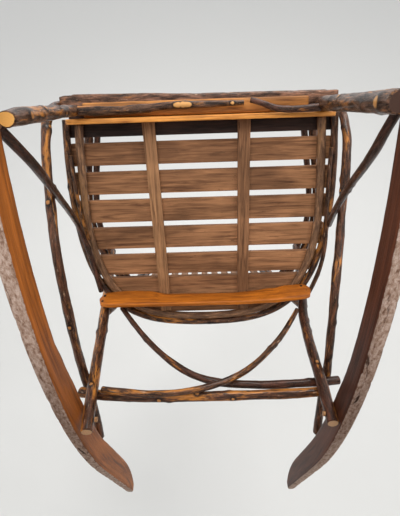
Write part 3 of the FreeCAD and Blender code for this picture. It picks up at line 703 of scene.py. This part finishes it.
nail_heads("rail_nail_heads", "frame_nails",
           [(-224, 157, -33), (-222, 152, -17), (214, 143, -12), (222, 148, -24)], 2.8)
plank("sawn_front_rail", "front_rail", (-245, 247), (-215.5, -206), (-34, 8), GOLD_PAINTED_LIGHT, rough=0.3, corner=12)
plank("sawn_front_apron", "front_apron", (-212, 198), (-242, -216), (-14, 8), APRON, rough=0.3)
plank("rough_front_board", "seat_front_board", (-260, 258), (-251, -225), (8, 20), ROUGH, rough=1.4,
      front=[(-260, -4), (-240, -6), (-120, -4.5), (-20, -1), (90, 0), (180, 0.6), (254, 0)])
plank("rough_front_cap", "seat_front_cap", (-240, 240), (-252, -228), (20, 26), ROUGH, rough=1.0,
      front=[(-240, -6), (-120, -4.5), (0, -1), (240, 0)])

SLAT = sawn_wood("seat_slat_wood", (0.33, 0.155, 0.070), (0.115, 0.048, 0.023), turn=SEAT_TILT, stain=0.6,
                 gloss=0.6)
# Slat 1's wood: a near-black copy of the slat wood, with the shade under the front boards painted in.
SLAT_PAINTED_SHADE = sawn_wood("seat_slat_wood_painted_shade", (0.045, 0.022, 0.016), (0.014, 0.008, 0.006), turn=SEAT_TILT,
                      stain=0.6)
BATTEN = sawn_wood("batten_wood", (0.34, 0.172, 0.080), (0.12, 0.053, 0.024), turn=SEAT_TILT, along="Y",
                   stain=0.35)
# A darker copy of the batten wood for the right batten, on the side away from the key light: painted shade.
BATTEN_PAINTED_SHADE = sawn_wood("batten_wood_painted_shade", (0.25, 0.118, 0.055), (0.085, 0.037, 0.017), turn=SEAT_TILT,
                        along="Y", stain=0.4)
BACK_SLAT = sawn_wood("back_slat_wood", (0.26, 0.135, 0.07), (0.10, 0.05, 0.028),
                      turn=math.radians(-70) + ROLL, along="Y", stain=0.5)
PEG = sawn_wood("peg_wood", (0.40, 0.21, 0.09), (0.17, 0.08, 0.035), stain=0.3)


def keep_node(piece, material, width):
    """A CAD node that stays, with its edges softened and its material put on."""
    for slot in piece.material_slots:
        slot.material = material
    soften = piece.modifiers.new("soft_edges", "BEVEL")
    soften.width = width
    soften.segments = 2
    soften.limit_method = "ANGLE"
    soften.angle_limit = math.radians(35)


# How a kept node's name starts, its material and how wide its edges are softened, in metres. The first row
# that fits counts. Slat 1's wood has the shade under the front boards painted in, and the right batten's wood
# has painted shade.
KEPT = [
    ("seat_slat_1", SLAT_PAINTED_SHADE, 0.0014), ("seat_slat", SLAT, 0.0014),
    ("seat_batten_left", BATTEN, 0.0012), ("seat_batten_right", BATTEN_PAINTED_SHADE, 0.0012),
    ("back_slat", BACK_SLAT, 0.0012), ("back_rail", SLAT, 0.0012), ("leg_pegs", PEG, 0.0006),
    ("seat_nails", IRON, 0.0004), ("back_nails", IRON, 0.0004),
]
for name in nodes:
    for start, material, width in KEPT:
        if name.startswith(start):
            keep_node(nodes[name], material, width)
            break

# ---------------------------------------------------------------- stage, light and camera


def pale_surface(name, tone):
    """Plain and pale on its upper side, and clear from behind, so that a camera below
    the floor or behind the backdrop still sees the chair."""
    g = Graph(name, Roughness=0.9, Specular_IOR_Level=0.1)
    g.shader.inputs["Base Color"].default_value = (*tone, 1)
    back = g.add("NewGeometry").outputs["Backfacing"]
    clear = g.add("BsdfTransparent").outputs[0]
    both = g.add("MixShader", {0: back, 1: g.shader.outputs[0], 2: clear}).outputs[0]
    g.tree.links.new(both, g.tree.nodes["Material Output"].inputs["Surface"])
    return g.material


def sheet_of_stage(name, corners, tone):
    """One flat sheet of the stage, which casts no shadow of its own."""
    mesh = bpy.data.meshes.new(name)
    mesh.from_pydata(corners, [], [(0, 1, 2, 3)])
    mesh.materials.append(pale_surface(name, tone))
    surface = bpy.data.objects.new(name, mesh)
    bpy.context.collection.objects.link(surface)
    surface.visible_shadow = False


# Half the floor's side, half the backdrop's width and height, and how far behind the
# chair it stands, in metres. LEAN is how much it tips forward for each metre of height.
FLOOR = 6
WIDE, TALL = 9, 6
BEHIND, LEAN = 1.5, 0.32
near, far = BEHIND - TALL * LEAN, BEHIND + TALL * LEAN
sheet_of_stage("floor", [(-FLOOR, -FLOOR, 0), (FLOOR, -FLOOR, 0), (FLOOR, FLOOR, 0), (-FLOOR, FLOOR, 0)],
               (0.74, 0.74, 0.73))
sheet_of_stage("backdrop", [(-WIDE, far, -TALL), (WIDE, far, -TALL), (WIDE, near, TALL), (-WIDE, near, TALL)],
               (0.67, 0.67, 0.66))

world = bpy.data.worlds.new("studio")
world.use_nodes = True
world.node_tree.nodes["Background"].inputs["Color"].default_value = (0.99, 0.995, 1.0, 1)
world.node_tree.nodes["Background"].inputs["Strength"].default_value = 0.85
bpy.context.scene.world = world


def area_light(name, place, target, size, power, colour=(1, 1, 1)):
    light = bpy.data.lights.new(name, "AREA")
    light.size = size
    light.energy = power
    light.color = colour
    lamp = bpy.data.objects.new(name, light)
    lamp.location = place
    lamp.rotation_euler = (Vector(target) - Vector(place)).to_track_quat("-Z", "Y").to_euler()
    lamp.visible_camera = False
    bpy.context.collection.objects.link(lamp)


# The key lights the chair from the front, the fill from below, the kicker adds small
# highlights from the right, and the glow brightens the middle of the backdrop.
area_light("key", (0.7, -3.2, 1.1), (0, 0.2, 0.6), 1.4, 50, (1.0, 0.98, 0.95))
area_light("fill", (-0.4, -1.9, -1.0), (-0.1, 0.3, 0.6), 1.6, 36)
area_light("kicker", (1.3, -1.6, -0.6), (0, 0, 0.3), 0.3, 9)
area_light("glow", (0, 0.1, 1.3), (0, 1.1, 1.5), 0.6, 1.6)

# The camera is below and in front of the seat and looks up at it. Its place is in the
# unrolled chair's millimetres, and right and up are its own directions there.
camera_data = bpy.data.cameras.new("camera")
camera_data.lens = 25.12
camera_data.sensor_width = 36.0
camera_data.clip_start = 0.01
camera_data.clip_end = 60
camera = bpy.data.objects.new("camera", camera_data)
right = Vector((0.99951, 0.0311, -0.0019))
up = Vector((0.0276, -0.8521, 0.5226))
toward = right.cross(up)
turned = Matrix((right, up, toward)).transposed().to_4x4()
rest_turn = Matrix.Rotation(-ROLL, 4, "X")
camera.matrix_world = Matrix.Translation(REST @ Vector((3.766, -336.175, -322.584))) @ rest_turn @ turned
bpy.context.collection.objects.link(camera)
bpy.context.scene.camera = camera
bpy.context.scene.view_settings.view_transform = "Standard"
